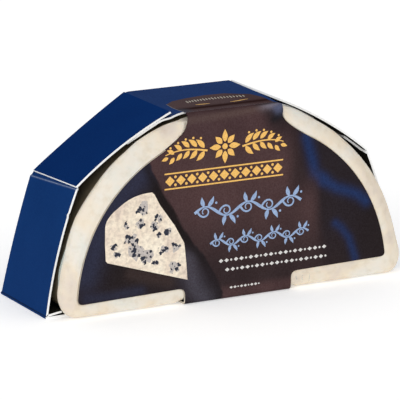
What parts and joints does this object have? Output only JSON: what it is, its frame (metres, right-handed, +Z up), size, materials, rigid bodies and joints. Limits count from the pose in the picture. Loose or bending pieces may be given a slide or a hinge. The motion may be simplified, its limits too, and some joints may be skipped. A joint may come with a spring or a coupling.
{
  "type": "packed half cheese wheel",
  "caption": "Half-moon retail pack: a soft half cheese wheel in tight clear film, standing on its cut side in a folded board carton with a die-cut front card, for shelf, fridge and kitchen scenes.",
  "frame": {"origin": "middle of the pack's bounding box at its base, on the surface it stands on", "axes": "+X to the right along the straight cut side as seen from the front, +Y to the back panel, +Z up; the open front and its card face -Y"},
  "size_m": [0.1148, 0.0354, 0.0553],
  "materials": {
    "board": "coated and printed, satin to gloss, with white raw edges",
    "rind": "ivory rind seen through tight clear glossy film"
  },
  "bodies": {
    "root": {"carton": "board", "cheese": "rind"}
  },
  "joints": []
}
